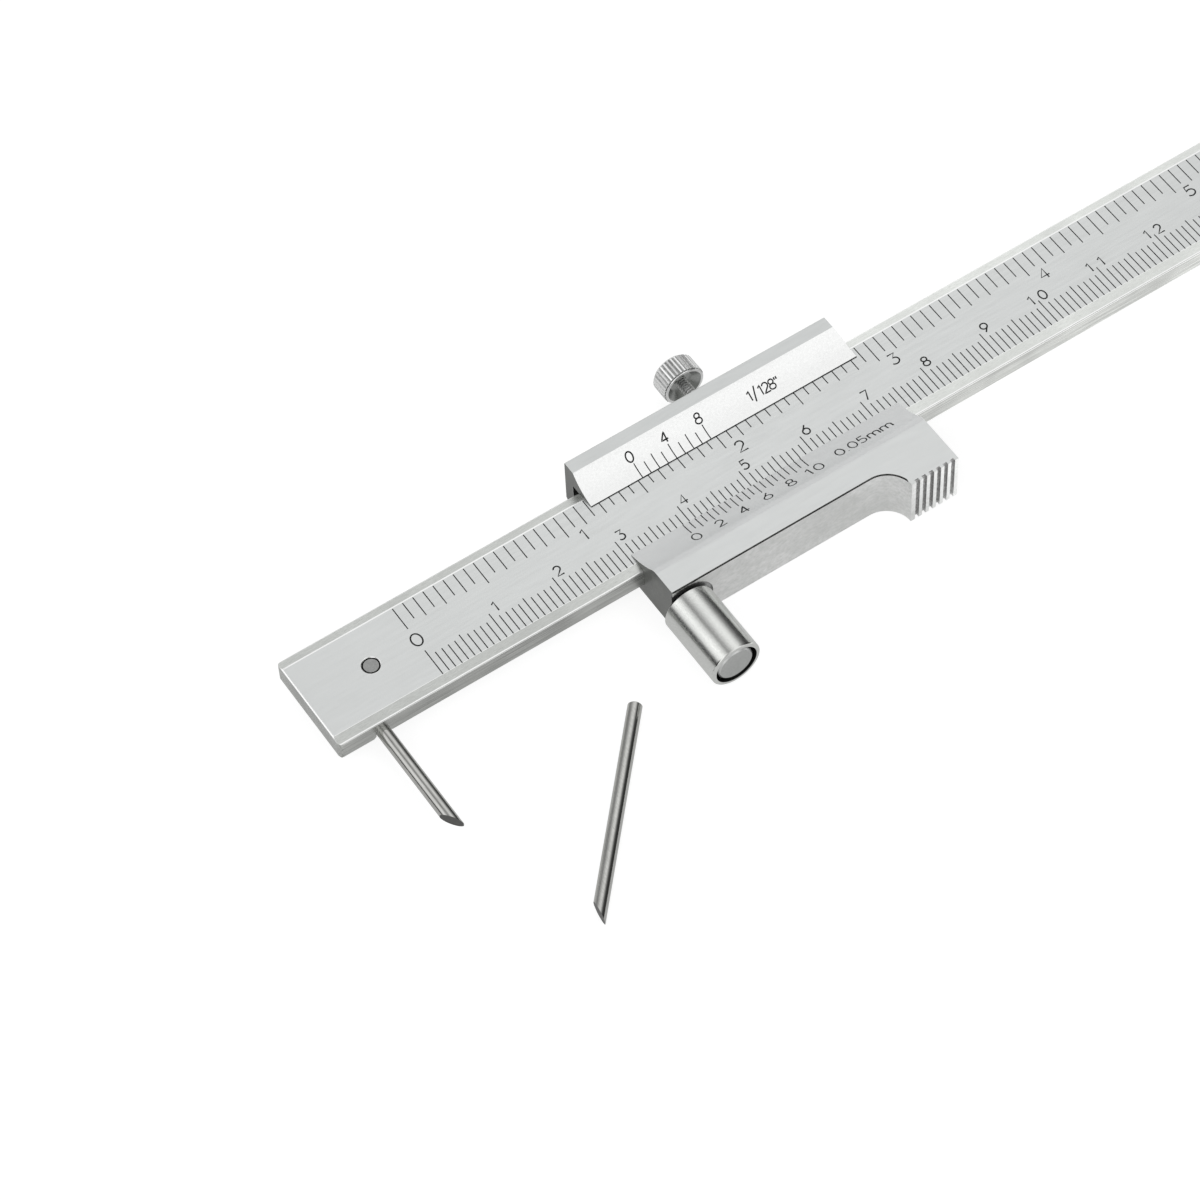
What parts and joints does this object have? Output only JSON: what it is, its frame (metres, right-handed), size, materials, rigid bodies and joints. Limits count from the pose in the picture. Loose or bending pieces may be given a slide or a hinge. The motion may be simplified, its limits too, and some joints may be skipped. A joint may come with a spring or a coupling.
{
  "type": "marking caliper",
  "caption": "Flat graduated beam with a clamped scriber needle, a vernier slider with guide roller, thumb rest and lock screw, and a loose spare needle beside it.",
  "frame": {"origin": "on the slider's flat back, which lies on the table, at the middle of the slider's length and of the beam's width", "axes": "+X along the beam away from the scriber, +Y across the beam towards the lock screw, +Z out of the graduated face"},
  "size_m": [0.257, 0.0657, 0.0084],
  "materials": {
    "satin_steel": "satin, finely ground",
    "polished_steel": "ground and polished",
    "turned_steel": "turned, semi-bright",
    "dark_steel": "dull, dark"
  },
  "bodies": {
    "beam": {"beam": "satin_steel"},
    "clamp_plate": {"clamp_plate": "satin_steel"},
    "clamp_screw": {"clamp_screw": "dark_steel"},
    "scriber": {"scriber_needle": "polished_steel"},
    "slider": {"slider_body": "satin_steel", "roller_pin": "turned_steel", "roller_spacer": "turned_steel"},
    "gib": {"gib_strip": "dark_steel"},
    "lock_screw": {"lock_stud": "turned_steel", "lock_knob": "turned_steel"},
    "roller": {"guide_roller": "polished_steel"},
    "spare_needle": {"spare_needle": "polished_steel"}
  },
  "joints": [
    {"name": "slider_slide", "type": "slide", "parent": "beam", "child": "slider", "axis": [1, 0, 0], "range_m": [-0.0345, 0.1611]},
    {"name": "gib_slide", "type": "slide", "parent": "slider", "child": "gib", "axis": [0, 1, 0], "range_m": [0, 0.0004]},
    {"name": "lock_screw_turn", "type": "hinge", "parent": "gib", "child": "lock_screw", "pos_m": [0.0005, 0.0151, 0.00375], "axis": [0, 1, 0], "range_deg": [0, 360]},
    {"name": "roller_spin", "type": "hinge", "parent": "slider", "child": "roller", "pos_m": [-0.01955, -0.015, 0.0039], "axis": [0, -1, 0], "continuous": true},
    {"name": "scriber_slide", "type": "slide", "parent": "beam", "child": "scriber", "axis": [0, -1, 0], "range_m": [-0.008, 0.008]},
    {"name": "clamp_plate_slide", "type": "slide", "parent": "beam", "child": "clamp_plate", "axis": [0, 0, -1], "range_m": [0, 0.0002]},
    {"name": "clamp_screw_turn", "type": "hinge", "parent": "clamp_plate", "child": "clamp_screw", "pos_m": [-0.0593, 0.00025, 0.00113], "axis": [0, 0, -1], "range_deg": [0, 160]},
    {"name": "spare_needle_lift", "type": "slide", "parent": "beam", "child": "spare_needle", "axis": [0, 0, 1], "range_m": [0, 0.05]}
  ],
  "couplings": [
    {"joint": "lock_screw_turn", "follows": "gib_slide", "rad_per_m": 15708},
    {"joint": "clamp_screw_turn", "follows": "clamp_plate_slide", "rad_per_m": 13963}
  ]
}
